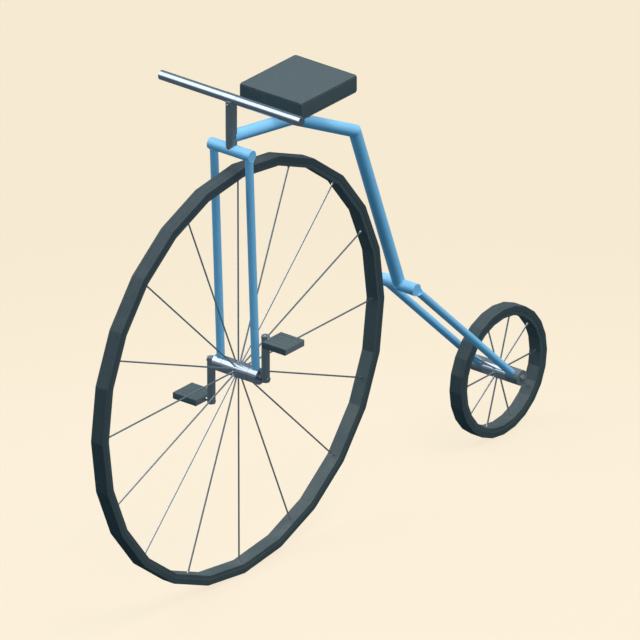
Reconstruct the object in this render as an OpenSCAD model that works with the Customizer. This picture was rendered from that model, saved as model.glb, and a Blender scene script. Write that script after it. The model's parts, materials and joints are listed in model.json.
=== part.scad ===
// Penny farthing bicycle: a high front wheel with the cranks on its axle, a small
// trailing wheel, and one bent backbone that joins the two.
// X points forward, Y to the rider's left, Z up. The origin is the middle of the
// saddle's top. Most pieces are drawn about the front axle and then moved there.

/* [Wheels] */
// Diameter of the front tyre across its corners
front_wheel_d = 1320; // [1000:10:1600]
// Diameter of the rear tyre across its corners
rear_wheel_d = 413; // [300:1:520]
// Fore and aft gap between the two tyres
tyre_gap = 362.5; // [200:0.5:500]
// Straight lengths that make up each tyre and rim
wheel_flats = 24; // [16:4:96]
// Width of both tyres
tyre_w = 45.5; // [25:0.5:60]
// Depth of both tyres, from the tread to the rim
tyre_h = 19; // [12:0.5:30]
// Depth of both rims
rim_h = 11.5; // [8:0.5:20]
// Step from the side of a tyre to the side of its rim
rim_inset = 1; // [0:0.5:6]
// Spokes in the front wheel
front_spokes_n = 16; // [8:2:30]
// Spokes in the rear wheel
rear_spokes_n = 10; // [6:2:24]
// Diameter of a spoke
spoke_d = 5; // [2.5:0.5:7]

/* [Hubs and axles] */
// Diameter of the front hub and of the bearing housings beside it
front_hub_d = 50; // [40:1:64]
// Diameter of the front axle
front_axle_d = 15; // [12:0.5:20]
// Diameter of the rear hub and of the fork ends beside it
rear_hub_d = 48; // [36:1:60]
// Diameter of the rear axle
rear_axle_d = 16; // [10:1:20]
// Gap between a turning hub and the fixed piece beside it
hub_gap = 1; // [0.5:0.5:3]
// Length of a bearing housing or fork end on the inner side of its leg or stay
end_inside = 3.5; // [2:0.5:10]
// Length of a bearing housing past the outer side of its leg
bearing_past = 5; // [2:0.5:20]
// Length of a rear fork end past the outer side of its stay
fork_end_past = 16; // [2:0.5:30]
// Radial clearance of a shaft that turns in its hole
running_fit = 0.05; // [0.02:0.01:0.1]

/* [Cranks and pedals] */
// Distance from the axle to a pedal spindle
crank_len = 132; // [100:1:170]
// Diameter of the round crank bars
crank_d = 25; // [22:0.5:32]
// Gap between a bearing housing and the crank beside it
crank_gap = 7; // [5:0.5:20]
// Metal past the axle's hole and past the spindle's hole at the ends of a crank
eye_wall = 2; // [2:0.5:8]
// Diameter of a pedal spindle
spindle_d = 12; // [10:0.5:16]
// Fore and aft length of a pedal
pedal_len = 90; // [70:1:120]
// Width of a pedal
pedal_w = 91; // [70:1:120]
// Thickness of a pedal above and below its spindle
pedal_wall = 4.5; // [3:0.5:10]
// Gap between a crank and its pedal
pedal_gap = 8.5; // [5:0.5:16]

/* [Fork] */
// Distance that the steering axis lies ahead of the front axle
head_lead = 30; // [10:1:60]
// Gap between the front tyre and the fork crown
crown_gap = 45; // [20:1:80]
// Diameter of the fork crown
crown_d = 36; // [30:1:44]
// Gap between the side of the front tyre and a fork leg
leg_gap = 31; // [15:0.5:45]
// Diameter of a fork leg
leg_d = 25; // [20:0.5:30]
// Diameter of the steerer inside the head tube
steerer_d = 22; // [16:1:26]
// Wall of the head tube, which the stem and the steerer's shoulder share
head_wall = 6; // [4:0.5:8]
// Length of the head tube above the backbone
head_past = 3; // [2:0.5:20]
// Length of the steerer that sits in the stem
steerer_hold = 40; // [20:1:60]
// Height of the handlebar above the fork crown
bar_rise = 166; // [150:0.5:240]
// Diameter of the handlebar
bar_d = 29.5; // [22:0.5:34]
// Step up to the thicker middle of the handlebar, where the stem holds it
bar_step = 0.5; // [0.5:0.5:2]
// Length of the thicker middle of the handlebar
bar_middle = 46; // [40:1:80]
// Width of the handlebar
bar_w = 530; // [440:1:700]

/* [Backbone] */
// Diameter of the backbone
backbone_d = 39; // [30:0.5:46]
// Gap between the backbone and the turning fork crown
backbone_gap = 5; // [5:0.5:15]
// Distance of the first bend from the tread of the front tyre
bend1_gap = 106; // [85:1:140]
// Angle of the first bend about the front axle, from straight ahead
bend1_angle = 109.3; // [105:0.1:115]
// Distance of the second bend from the tread of the front tyre
bend2_gap = 134.7; // [110:0.1:180]
// Angle of the second bend about the front axle, from straight ahead
bend2_angle = 133.5; // [125:0.1:145]
// Distance of the cross tube behind the tread of the front tyre
cross_gap = 98; // [70:1:150]
// Diameter of the cross tube at the foot of the backbone
cross_d = 38; // [32:0.5:46]
// Length of the cross tube past the middle of each stay
cross_past = 4; // [0:0.5:30]
// Diameter of a rear stay
stay_d = 24; // [18:0.5:30]
// Gap between the side of the rear tyre and a stay
stay_gap = 27.5; // [12:0.5:45]

/* [Saddle] */
// Length of the saddle pad
saddle_len = 262; // [200:1:320]
// Width of the saddle pad
saddle_w = 235; // [180:1:290]
// Thickness of the saddle pad
saddle_h = 56; // [40:1:70]
// Height of the pad's underside above the middle of the backbone at the post
saddle_lift = 79; // [60:1:140]
// Distance of the saddle post behind the first bend
post_back = 37; // [30:1:80]
// Distance of the middle of the pad ahead of the saddle post
pad_ahead = 7; // [0:1:60]
// Diameter of the saddle post
post_d = 24; // [18:1:30]
// Thickness of the plate under the pad
plate_h = 5; // [3:0.5:8]
// Distance from the edge of the pad to the edge of the plate
plate_inset = 24; // [10:1:60]
// Length of the foot that holds the saddle post on the backbone
foot_len = 40; // [34:1:60]
// Wall of the foot on the backbone
foot_wall = 5; // [3:0.5:8]
// Height of the lower edges of the foot above the middle of the backbone
foot_edge = 14; // [6:0.5:16]

/* [Hidden] */
$fn = 64;

left = 1;
right = -1;
spoke_root = 3;       // length of a spoke inside the hub
spoke_tip = 2;        // length of a spoke inside the corner of a rim
seam = 0.6;           // gap under and over the head tube
spindle_end = 10;     // solid end of a pedal past its spindle
end_play = 1;         // free length of a pedal's hole past its spindle
cutter = 400;         // size of the blocks that cut mitres and the saddle foot

blue = [0.29, 0.53, 0.69];
steel = [0.24, 0.25, 0.28];
chrome_grey = [0.80, 0.84, 0.90];
slate = [0.20, 0.26, 0.29];
spoke_grey = [0.45, 0.48, 0.50];

// Sizes across the bicycle, over both sides
leg_spread = tyre_w + 2 * leg_gap + leg_d;
bearing_inner = leg_spread - leg_d - 2 * end_inside;
bearing_outer = leg_spread + leg_d + 2 * bearing_past;
stay_spread = tyre_w + 2 * stay_gap + stay_d;
fork_end_inner = stay_spread - stay_d - 2 * end_inside;
fork_end_outer = stay_spread + stay_d + 2 * fork_end_past;
crank_inner = bearing_outer + 2 * crank_gap;
crank_spread = crank_inner + crank_d;
pedal_inner = crank_spread + crank_d + 2 * pedal_gap;

// Heights of the fork's pieces above the front axle, from the tyre up
front_r = front_wheel_d / 2;
head_d = steerer_d + 2 * head_wall;
crown_rise = front_r + crown_gap + crown_d / 2;
head_bottom = crown_rise + crown_d / 2 + seam;
backbone_rise = crown_rise + crown_d / 2 + backbone_gap + backbone_d / 2;
head_top = backbone_rise + backbone_d / 2 + head_past;
head_h = head_top - head_bottom;
stem_bottom = head_top + seam;
bar_height = crown_rise + bar_rise;
stem_top = bar_height - bar_d / 4;

// Places in the plane of the wheels, as [x, 0, z] from the front axle
crown_place = [head_lead, 0, crown_rise];
bar_place = [head_lead, 0, bar_height];
cross_place = [-front_r - cross_gap, 0, 0];
rear_place = [-front_r - tyre_gap - rear_wheel_d / 2, 0, rear_wheel_d / 2 - front_r];
spine = [
    [head_lead, 0, backbone_rise],
    (front_r + bend1_gap) * along(bend1_angle),
    (front_r + bend2_gap) * along(bend2_angle),
    cross_place
];
slope = [for (i = [0 : 2]) angle_of(spine[i + 1] - spine[i])];
post_x = spine[1][0] - post_back;
post_z = on_spine(post_x, 1);
pad_x = post_x + pad_ahead;
pad_bottom = post_z + saddle_lift;
pad_top = pad_bottom + saddle_h;

// Step of length 1 at an angle in the plane of the wheels
function along(angle) = [cos(angle), 0, sin(angle)];

// Angle in the plane of the wheels, from forward towards up
function angle_of(v) = atan2(v[2], v[0]);

// Height of the backbone's middle line at x, on the length that starts at point i
function on_spine(x, i) = spine[i][2]
    + (x - spine[i][0]) * (spine[i + 1][2] - spine[i][2]) / (spine[i + 1][0] - spine[i][0]);

// Corners of a ring with straight sides, the first one on the X axis
function corners(d) = [for (i = [0 : wheel_flats - 1])
    d / 2 * [cos(360 * i / wheel_flats), sin(360 * i / wheel_flats)]];

// Moves what is drawn about the front axle to its place below the saddle
module from_axle() {
    translate([-pad_x, 0, -pad_top]) children();
}

// Round bar across the bicycle, from side y0 to side y1
module cross_bar(d, y0, y1) {
    translate([0, y0, 0]) rotate([-90, 0, 0]) cylinder(h = y1 - y0, d = d);
}

// Round bar from point a to point b
module bar_between(a, b, d) {
    run = b - a;
    translate(a) rotate([0, acos(run[2] / norm(run)), atan2(run[1], run[0])])
        cylinder(h = norm(run), d = d);
}

// Block that fills the side of a point towards which the angle looks
module far_side(point, angle) {
    translate(point) rotate([0, -angle, 0])
        translate([0, -cutter / 2, -cutter / 2]) cube(cutter);
}

// Flat-sided ring about the Y axis
module ring(outer_d, inner_d, w) {
    rotate([90, 0, 0]) translate([0, 0, -w / 2]) linear_extrude(w) difference() {
        polygon(corners(outer_d));
        polygon(corners(inner_d));
    }
}

module tyre(wheel_d) {
    ring(wheel_d, wheel_d - 2 * tyre_h, tyre_w);
}

module rim(wheel_d) {
    ring(wheel_d - 2 * tyre_h, wheel_d - 2 * (tyre_h + rim_h), tyre_w - 2 * rim_inset);
}

// Spokes in the plane of the wheel, sunk a little into the hub and the rim
module spokes(count, wheel_d, hub_d) {
    inner = hub_d / 2 - spoke_root;
    outer = wheel_d / 2 - tyre_h - rim_h + spoke_tip;
    for (i = [0 : count - 1])
        rotate([0, -360 * i / count, 0]) translate([inner, 0, 0])
            rotate([0, 90, 0]) cylinder(h = outer - inner, d = spoke_d, $fn = 24);
}

// Hub barrel with its bore
module hub(d, w, bore_d) {
    difference() {
        cross_bar(d, -w / 2, w / 2);
        cross_bar(bore_d, -w, w);
    }
}

// Piece of round bar beside a hub, on one side, between two widths over both sides
module hub_end(side, d, inner_w, outer_w, bore_d) {
    start = side == left ? inner_w / 2 : -outer_w / 2;
    difference() {
        cross_bar(d, start, start + (outer_w - inner_w) / 2);
        cross_bar(bore_d, -outer_w, outer_w);
    }
}

// Length i of the backbone's tube, mitred where it meets the next one
module backbone_length(i) {
    before = i > 0 ? backbone_d : 0;
    after = i < 2 ? backbone_d : 0;
    color(blue) from_axle() difference() {
        translate(spine[i]) rotate([0, 90 - slope[i], 0]) translate([0, 0, -before])
            cylinder(h = norm(spine[i + 1] - spine[i]) + before + after, d = backbone_d);
        if (i > 0) far_side(spine[i], (slope[i] + slope[i - 1]) / 2 + 180);
        if (i < 2) far_side(spine[i + 1], (slope[i] + slope[i + 1]) / 2);
        if (i == 0) translate([head_lead, 0, 0]) cylinder(h = 2 * crown_rise, d = head_d);
        if (i == 2) translate(cross_place) cross_bar(cross_d, -cutter, cutter);
    }
}

module head_tube() {
    color(steel) from_axle() translate([head_lead, 0, head_bottom]) difference() {
        cylinder(h = head_h, d = head_d);
        translate([0, 0, -head_h]) cylinder(h = 3 * head_h, d = steerer_d + 2 * running_fit);
    }
}

module cross_tube() {
    end = stay_spread / 2 + cross_past;
    color(blue) from_axle() translate(cross_place) cross_bar(cross_d, -end, end);
}

module stay(side) {
    across = [0, side * stay_spread / 2, 0];
    color(blue) from_axle() difference() {
        bar_between(cross_place + across, rear_place + across, stay_d);
        translate(cross_place) cross_bar(cross_d, -cutter, cutter);
        translate(rear_place) cross_bar(rear_hub_d, -cutter, cutter);
    }
}

module rear_fork_end(side) {
    color(steel) from_axle() translate(rear_place)
        hub_end(side, rear_hub_d, fork_end_inner, fork_end_outer, rear_axle_d);
}

module rear_axle() {
    color(chrome_grey) from_axle() translate(rear_place)
        cross_bar(rear_axle_d, -fork_end_outer / 2, fork_end_outer / 2);
}

// Saddle-shaped foot on top of the backbone, under the post
module saddle_foot() {
    color(steel) from_axle() translate([post_x, 0, post_z]) rotate([0, -slope[1] - 180, 0])
        difference() {
            rotate([0, 90, 0])
                cylinder(h = foot_len, d = backbone_d + 2 * foot_wall, center = true);
            rotate([0, 90, 0]) cylinder(h = 2 * foot_len, d = backbone_d, center = true);
            translate([-cutter / 2, -cutter / 2, foot_edge - cutter]) cube(cutter);
        }
}

module saddle_post() {
    color(steel) from_axle() translate([post_x, 0, post_z]) difference() {
        cylinder(h = pad_bottom - plate_h - post_z, d = post_d);
        rotate([0, 90 - slope[1], 0])
            cylinder(h = cutter, d = backbone_d + 2 * foot_wall, center = true);
    }
}

module saddle_plate() {
    color(steel) from_axle() translate([pad_x, 0, pad_bottom - plate_h / 2])
        cube([saddle_len - 2 * plate_inset, saddle_w - 2 * plate_inset, plate_h], center = true);
}

module saddle_pad() {
    color(slate) from_axle() translate([pad_x, 0, pad_bottom + saddle_h / 2])
        cube([saddle_len, saddle_w, saddle_h], center = true);
}

module fork_crown() {
    end = (leg_spread + leg_d) / 2;
    color(blue) from_axle() translate(crown_place) difference() {
        cross_bar(crown_d, -end, end);
        cylinder(h = crown_d, d = head_d);
    }
}

module fork_leg(side) {
    across = [0, side * leg_spread / 2, 0];
    color(blue) from_axle() difference() {
        bar_between(crown_place + across, across, leg_d);
        translate(crown_place) cross_bar(crown_d, -cutter, cutter);
        cross_bar(front_hub_d, -cutter, cutter);
    }
}

module fork_bearing(side) {
    color(steel) from_axle()
        hub_end(side, front_hub_d, bearing_inner, bearing_outer, front_axle_d + 2 * running_fit);
}

// Shoulder in the crown, then the thinner pin through the head tube into the stem
module steerer() {
    color(steel) from_axle() translate(crown_place) {
        cylinder(h = crown_d / 2, d = head_d);
        cylinder(h = stem_bottom + steerer_hold - crown_rise, d = steerer_d);
    }
}

module stem() {
    color(steel) from_axle() difference() {
        translate([head_lead, 0, stem_bottom]) cylinder(h = stem_top - stem_bottom, d = head_d);
        translate([head_lead, 0, stem_bottom - 1]) cylinder(h = steerer_hold + 1, d = steerer_d);
        translate(bar_place) cross_bar(bar_d + 2 * bar_step, -bar_w, bar_w);
    }
}

module handlebar() {
    color(chrome_grey) from_axle() translate(bar_place) {
        cross_bar(bar_d, -bar_w / 2, bar_w / 2);
        cross_bar(bar_d + 2 * bar_step, -bar_middle / 2, bar_middle / 2);
    }
}

module front_tyre() {
    color(slate) from_axle() tyre(front_wheel_d);
}

module front_rim() {
    color(slate) from_axle() rim(front_wheel_d);
}

module front_spokes() {
    color(spoke_grey) from_axle() spokes(front_spokes_n, front_wheel_d, front_hub_d);
}

module front_hub() {
    color(steel) from_axle() hub(front_hub_d, bearing_inner - 2 * hub_gap, front_axle_d);
}

module front_axle() {
    end = crank_inner / 2 + crank_d;
    color(chrome_grey) from_axle() cross_bar(front_axle_d, -end, end);
}

// The left crank points up and the right one down
module crank(side) {
    below = front_axle_d / 2 + eye_wall;
    above = spindle_d / 2 + eye_wall;
    color(steel) from_axle() translate([0, side * crank_spread / 2, 0])
        rotate([side == left ? 0 : 180, 0, 0]) difference() {
            translate([0, 0, -below]) cylinder(h = below + crank_len + above, d = crank_d);
            cross_bar(front_axle_d, -crank_d, crank_d);
            translate([0, 0, crank_len]) cross_bar(spindle_d, -crank_d, crank_d);
        }
}

module pedal_spindle(side) {
    inner = crank_inner / 2;
    outer = pedal_inner / 2 + pedal_w - spindle_end;
    color(chrome_grey) from_axle() translate([0, 0, side * crank_len])
        rotate([side == left ? 0 : 180, 0, 0]) cross_bar(spindle_d, inner, outer);
}

module pedal(side) {
    height = spindle_d + 2 * pedal_wall;
    color(slate) from_axle() translate([0, side * pedal_inner / 2, side * crank_len])
        rotate([side == left ? 0 : 180, 0, 0]) difference() {
            translate([-pedal_len / 2, 0, -height / 2]) cube([pedal_len, pedal_w, height]);
            cross_bar(spindle_d + 2 * running_fit, -1, pedal_w - spindle_end + end_play);
        }
}

module rear_tyre() {
    color(slate) from_axle() translate(rear_place) tyre(rear_wheel_d);
}

module rear_rim() {
    color(slate) from_axle() translate(rear_place) rim(rear_wheel_d);
}

module rear_spokes() {
    color(spoke_grey) from_axle() translate(rear_place)
        spokes(rear_spokes_n, rear_wheel_d, rear_hub_d);
}

module rear_hub() {
    color(steel) from_axle() translate(rear_place)
        hub(rear_hub_d, fork_end_inner - 2 * hub_gap, rear_axle_d + 2 * running_fit);
}

backbone_length(0);  // backbone_front
backbone_length(1);  // backbone_middle
backbone_length(2);  // backbone_rear
head_tube();
cross_tube();
stay(left);  // stay_left
stay(right);  // stay_right
rear_fork_end(left);  // rear_fork_end_left
rear_fork_end(right);  // rear_fork_end_right
rear_axle();
saddle_foot();
saddle_post();
saddle_plate();
saddle_pad();
fork_crown();
fork_leg(left);  // fork_leg_left
fork_leg(right);  // fork_leg_right
fork_bearing(left);  // fork_bearing_left
fork_bearing(right);  // fork_bearing_right
steerer();
stem();
handlebar();
front_tyre();
front_rim();
front_spokes();
front_hub();
front_axle();
crank(left);  // crank_left
crank(right);  // crank_right
pedal_spindle(left);  // pedal_spindle_left
pedal_spindle(right);  // pedal_spindle_right
pedal(left);  // pedal_left
pedal(right);  // pedal_right
rear_tyre();
rear_rim();
rear_spokes();
rear_hub();
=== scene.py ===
import json
import math

import bpy
import numpy as np
from mathutils import Matrix, Quaternion, Vector


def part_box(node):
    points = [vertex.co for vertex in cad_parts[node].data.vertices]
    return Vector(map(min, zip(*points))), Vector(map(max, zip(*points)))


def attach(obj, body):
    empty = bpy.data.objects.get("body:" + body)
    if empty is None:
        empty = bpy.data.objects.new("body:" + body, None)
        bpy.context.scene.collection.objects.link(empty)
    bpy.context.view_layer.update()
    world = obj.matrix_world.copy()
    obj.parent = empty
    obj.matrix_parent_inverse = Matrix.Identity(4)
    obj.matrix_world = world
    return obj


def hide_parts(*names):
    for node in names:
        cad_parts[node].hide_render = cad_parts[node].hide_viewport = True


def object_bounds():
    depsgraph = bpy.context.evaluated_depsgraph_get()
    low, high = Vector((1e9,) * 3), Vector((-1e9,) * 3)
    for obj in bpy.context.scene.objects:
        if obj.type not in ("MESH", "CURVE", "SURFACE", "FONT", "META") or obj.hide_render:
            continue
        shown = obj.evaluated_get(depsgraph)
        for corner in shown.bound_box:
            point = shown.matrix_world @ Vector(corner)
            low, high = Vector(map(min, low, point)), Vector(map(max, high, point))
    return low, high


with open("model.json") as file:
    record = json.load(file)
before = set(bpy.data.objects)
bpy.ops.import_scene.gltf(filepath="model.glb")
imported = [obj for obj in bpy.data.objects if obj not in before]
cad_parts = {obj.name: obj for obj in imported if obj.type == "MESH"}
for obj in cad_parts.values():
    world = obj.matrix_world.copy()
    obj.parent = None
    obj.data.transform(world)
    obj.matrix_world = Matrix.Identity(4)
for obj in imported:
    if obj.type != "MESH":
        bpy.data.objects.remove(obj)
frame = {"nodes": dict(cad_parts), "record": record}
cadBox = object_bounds()
nodes = frame["nodes"]
print("frame loaded:", len(nodes), "nodes")

mm = 0.001


def nodeBox(name):
    low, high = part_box(name)
    return np.array(low), np.array(high)


def middle(name):
    low, high = nodeBox(name)
    return (low + high) / 2


def halfSize(name):
    low, high = nodeBox(name)
    return (high - low) / 2


def bodyOf(name):
    for body, members in frame["record"]["behaviour"]["bodies"].items():
        if name in members:
            return body


# shared places, all read from the frame

frontHub = middle("front_hub")
rearHub = middle("rear_hub")
crownMiddle = middle("fork_crown")
crossMiddle = middle("cross_tube")
headMiddle = middle("head_tube")
acrossAxis = np.array([0.0, 1.0, 0.0])
upAxis = np.array([0.0, 0.0, 1.0])
forwardAxis = np.array([1.0, 0.0, 0.0])


# helpers for node trees

def plug(tree, value, socket):
    # a value is either a plain number or another node's output
    if isinstance(value, bpy.types.NodeSocket):
        tree.links.new(value, socket)
    else:
        socket.default_value = value


def noiseNode(tree, vector, scale, detail=3.0, rough=0.5):
    node = tree.nodes.new("ShaderNodeTexNoise")
    tree.links.new(vector, node.inputs["Vector"])
    plug(tree, scale, node.inputs["Scale"])
    node.inputs["Detail"].default_value = detail
    node.inputs["Roughness"].default_value = rough
    return node


def mathNode(tree, operation, *values, clamp=False):
    node = tree.nodes.new("ShaderNodeMath")
    node.operation = operation
    node.use_clamp = clamp
    for value, socket in zip(values, node.inputs):
        plug(tree, value, socket)
    return node.outputs[0]


def rangeNode(tree, value, low, high, toLow=0.0, toHigh=1.0, smooth=True):
    node = tree.nodes.new("ShaderNodeMapRange")
    node.interpolation_type = "SMOOTHSTEP" if smooth else "LINEAR"
    settings = {"Value": value, "From Min": low, "From Max": high, "To Min": toLow, "To Max": toHigh}
    for label, item in settings.items():
        plug(tree, item, node.inputs[label])
    return node.outputs["Result"]


def mixColor(tree, share, first, second):
    # a Mix node set to colour has its share, first and second colour at sockets 0, 6 and 7
    node = tree.nodes.new("ShaderNodeMix")
    node.data_type = "RGBA"
    plug(tree, share, node.inputs[0])
    plug(tree, first, node.inputs[6])
    plug(tree, second, node.inputs[7])
    return node.outputs[2]


def objectPlace(tree):
    return tree.nodes.new("ShaderNodeTexCoord").outputs["Object"]


def mixShader(tree, share, first, second):
    node = tree.nodes.new("ShaderNodeMixShader")
    for value, socket in zip((share, first, second), node.inputs):
        tree.links.new(value, socket)
    return node.outputs[0]


def evenLight(tree, kind, color):
    node = tree.nodes.new(kind)
    node.inputs["Color"].default_value = (*color, 1)
    return node.outputs[0]


def splitByRay(tree, seen, light, mirror, out):
    # one shader for the camera, one that lights the parts, and one that they reflect
    path = tree.nodes.new("ShaderNodeLightPath")
    unseen = mixShader(tree, path.outputs["Is Glossy Ray"], light, mirror)
    both = mixShader(tree, path.outputs["Is Camera Ray"], unseen, seen)
    tree.links.new(both, out.inputs["Surface"])


# camera, floor and light

cameraSetup = {
    "azimuth": 38.92, "elevation": 25.08, "roll": -0.085,    # degrees, seen from ahead and from its left
    "fromFrontHub": (0.2466, 0.5083, 0.3988),
    "frameWidth": 1.8721,              # width of the view at the bicycle, in metres
    "halfAngle": math.radians(0.62),   # nearly parallel
    "sensor": 36.0,
}


def makeCamera(setup):
    data = bpy.data.cameras.new("camera")
    data.sensor_width = setup["sensor"]
    data.lens = setup["sensor"] / 2 / math.tan(setup["halfAngle"])
    data.clip_start, data.clip_end = 1.0, 400.0
    camera = bpy.data.objects.new("camera", data)
    bpy.context.scene.collection.objects.link(camera)
    azimuth, elevation = math.radians(setup["azimuth"]), math.radians(setup["elevation"])
    level = math.cos(elevation)
    back = Vector((level * math.cos(azimuth), level * math.sin(azimuth), math.sin(elevation)))
    aim = Vector(frontHub) + Vector(setup["fromFrontHub"])
    camera.location = aim + back * (setup["frameWidth"] / 2 / math.tan(setup["halfAngle"]))
    camera.rotation_mode = "QUATERNION"
    turn = Quaternion((0, 0, 1), math.radians(setup["roll"]))
    camera.rotation_quaternion = (-back).to_track_quat("-Z", "Y") @ turn
    bpy.context.scene.camera = camera


stageLook = {
    "nearCream": (0.975, 0.872, 0.706),
    "farCream": (0.905, 0.803, 0.622),
    "skyCream": (0.930, 0.827, 0.643),   # what the far floor comes to once it is lit
    "paintedLightSpot": (1.05, 0.95, -1.5),    # painted pool of light: the floor's glow is palest here, just ahead and to the left
    "nearAt": 1.7, "farAt": 3.9,         # metres from there over which the painted light fades to the far tone
    "glowShare": 0.815,                  # the floor's own glow
    "shadowShare": 0.12,                 # the share that shadows can take away
    "skyLight": (0.172, 0.305, 0.350),
    "floorLight": (0.105, 0.205, 0.240),
    "mirrorSky": (0.190, 0.250, 0.290),
    "mirrorFloor": (0.085, 0.110, 0.135),
    "floorSize": 160.0,
    "floorGap": 0.5 * mm,                # the wheels stand this far clear of it
}

# the key is one soft sun in two halves, and only one of them throws shadows, so they stay faint
keyLook = {"towards": (-0.05, 0.35, 0.93), "angle": 30, "tint": (1.08, 0.97, 0.92)}
lamps = {
    "keySun": {**keyLook, "strength": 1.15, "shadow": True},
    "openSun": {**keyLook, "strength": 2.35, "shadow": False},
    "frontSun": {"towards": (0.40, -0.566, 0.721), "strength": 1.0, "angle": 50,
                 "tint": (1.0, 1.0, 1.0), "shadow": True},
    "backSun": {"towards": (-0.85, -0.30, 0.30), "strength": 0.6, "angle": 50,
                "tint": (0.94, 0.98, 1.0), "shadow": True},
}

# a long soft box that shows only as the gleam on bars, hubs and spokes
softBox = {
    "towards": (0.400, -0.566, 0.721), "alongDirection": (-0.875, 0.0, 0.485), "distance": 5.0,
    "along": 5.3, "across": 11.0, "radiance": 1.28, "tint": (1.0, 1.0, 1.0),
}


def makeWorld(look):
    world = bpy.data.worlds.new("studio")
    bpy.context.scene.world = world
    world.use_nodes = True
    tree = world.node_tree
    tree.nodes.clear()
    seen, light, mirror = (evenLight(tree, "ShaderNodeBackground", look[label])
                           for label in ("skyCream", "skyLight", "mirrorSky"))
    splitByRay(tree, seen, light, mirror, tree.nodes.new("ShaderNodeOutputWorld"))


def makeFloorMaterial(look):
    # glow of a tone set by the distance from the bright spot, a painted pool of light, plus a little lit paper
    # for shadows
    material = bpy.data.materials.new("floorPaper")
    material.use_nodes = True
    tree = material.node_tree
    tree.nodes.clear()
    away = tree.nodes.new("ShaderNodeVectorMath")
    away.operation = "DISTANCE"
    tree.links.new(objectPlace(tree), away.inputs[0])
    away.inputs[1].default_value = look["paintedLightSpot"]
    far = rangeNode(tree, away.outputs["Value"], look["nearAt"], look["farAt"])
    cream = mixColor(tree, far, (*look["nearCream"], 1), (*look["farCream"], 1))
    glow = tree.nodes.new("ShaderNodeEmission")
    tree.links.new(cream, glow.inputs["Color"])
    glow.inputs["Strength"].default_value = look["glowShare"]
    paper = tree.nodes.new("ShaderNodeBsdfDiffuse")
    paper.inputs["Color"].default_value = (*[c * look["shadowShare"] for c in look["nearCream"]], 1)
    seen = tree.nodes.new("ShaderNodeAddShader")
    tree.links.new(glow.outputs[0], seen.inputs[0])
    tree.links.new(paper.outputs[0], seen.inputs[1])
    light, mirror = (evenLight(tree, "ShaderNodeEmission", look[label])
                     for label in ("floorLight", "mirrorFloor"))
    out = tree.nodes.new("ShaderNodeOutputMaterial")
    splitByRay(tree, seen.outputs[0], light, mirror, out)
    return material


def makeFloor(look):
    half = look["floorSize"] / 2
    height = cadBox[0].z - look["floorGap"]
    mesh = bpy.data.meshes.new("floor")
    corners = [(-half, -half), (half, -half), (half, half), (-half, half)]
    mesh.from_pydata([(x, y, height) for x, y in corners], [], [(0, 1, 2, 3)])
    floor = bpy.data.objects.new("floor", mesh)
    bpy.context.scene.collection.objects.link(floor)
    mesh.materials.append(makeFloorMaterial(look))


def makeLamps(suns, box):
    for name, lamp in suns.items():
        data = bpy.data.lights.new(name, "SUN")
        data.energy = lamp["strength"]
        data.angle = math.radians(lamp["angle"])
        data.color = lamp["tint"]
        data.use_shadow = lamp["shadow"]
        sun = bpy.data.objects.new(name, data)
        bpy.context.scene.collection.objects.link(sun)
        sun.rotation_mode = "QUATERNION"
        sun.rotation_quaternion = Vector(lamp["towards"]).to_track_quat("Z", "Y")
        sun.visible_glossy = False
    data = bpy.data.lights.new("softBox", "AREA")
    data.shape = "RECTANGLE"
    data.size, data.size_y = box["along"], box["across"]
    data.energy = box["radiance"] * math.pi * box["across"] * box["along"]
    data.color = box["tint"]
    lamp = bpy.data.objects.new("softBox", data)
    bpy.context.scene.collection.objects.link(lamp)
    towards = Vector(box["towards"]).normalized()
    lamp.location = Vector((cadBox[0] + cadBox[1]) / 2) + towards * box["distance"]
    along = Vector(box["alongDirection"])
    along = (along - towards * along.dot(towards)).normalized()
    lamp.rotation_mode = "QUATERNION"
    lamp.visible_diffuse = False
    lamp.rotation_quaternion = Matrix((along, towards.cross(along), towards)).transposed().to_quaternion()


makeCamera(cameraSetup)
makeWorld(stageLook)
makeFloor(stageLook)
makeLamps(lamps, softBox)
bpy.context.scene.view_settings.view_transform = "Standard"
print("camera, floor and light placed")


# shader groups used by more than one finish

def newGroup(name, inputs, outputs):
    group = bpy.data.node_groups.new(name, "ShaderNodeTree")
    for label, kind, value in inputs:
        socket = group.interface.new_socket(name=label, in_out="INPUT", socket_type=kind)
        socket.default_value = value
    for label, kind in outputs:
        group.interface.new_socket(name=label, in_out="OUTPUT", socket_type=kind)
    start = group.nodes.new("NodeGroupInput")
    end = group.nodes.new("NodeGroupOutput")
    return group, start, end


def makeMottleGroup():
    # slow and fine changes of tone: two noises weighed together around 1
    group, start, end = newGroup(
        "mottle",
        [("Place", "NodeSocketVector", (0, 0, 0)), ("Slow Scale", "NodeSocketFloat", 6.0),
         ("Fine Scale", "NodeSocketFloat", 90.0), ("Amount", "NodeSocketFloat", 0.1)],
        [("Tone", "NodeSocketFloat")],
    )
    slow = noiseNode(group, start.outputs["Place"], start.outputs["Slow Scale"], 3.0)
    fine = noiseNode(group, start.outputs["Place"], start.outputs["Fine Scale"], 2.0)
    both = mathNode(group, "ADD", mathNode(group, "MULTIPLY", slow.outputs["Fac"], 0.65),
                    mathNode(group, "MULTIPLY", fine.outputs["Fac"], 0.35))
    centred = mathNode(group, "SUBTRACT", both, 0.5)
    tone = mathNode(group, "ADD", mathNode(group, "MULTIPLY", centred, start.outputs["Amount"]), 1.0)
    group.links.new(tone, end.inputs["Tone"])
    return group


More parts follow.
